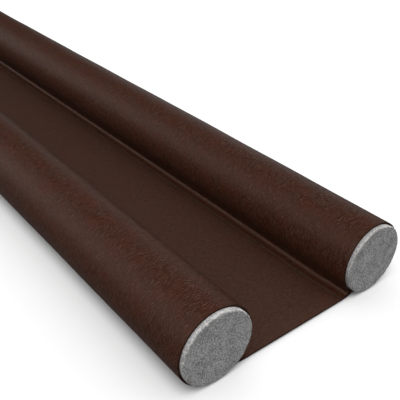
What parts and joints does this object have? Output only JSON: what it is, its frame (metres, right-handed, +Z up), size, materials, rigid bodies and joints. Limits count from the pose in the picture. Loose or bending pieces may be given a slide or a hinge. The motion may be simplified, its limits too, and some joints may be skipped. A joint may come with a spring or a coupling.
{
  "type": "draught excluder",
  "caption": "Long under-door draught excluder: a leatherette sheet with a foam rod in a round sleeve along each long edge and a flat web between them.",
  "frame": {"origin": "middle of the length and width, at the floor", "axes": "+X along the length, +Y from the front sleeve to the back sleeve, +Z up"},
  "size_m": [0.9336, 0.1168, 0.0325],
  "materials": {
    "leatherette": "satin, fine creased grain",
    "foam": "dull, finely speckled foam"
  },
  "bodies": {
    "root": {"cover": "leatherette", "rod_front": "foam", "rod_back": "foam"}
  },
  "joints": []
}
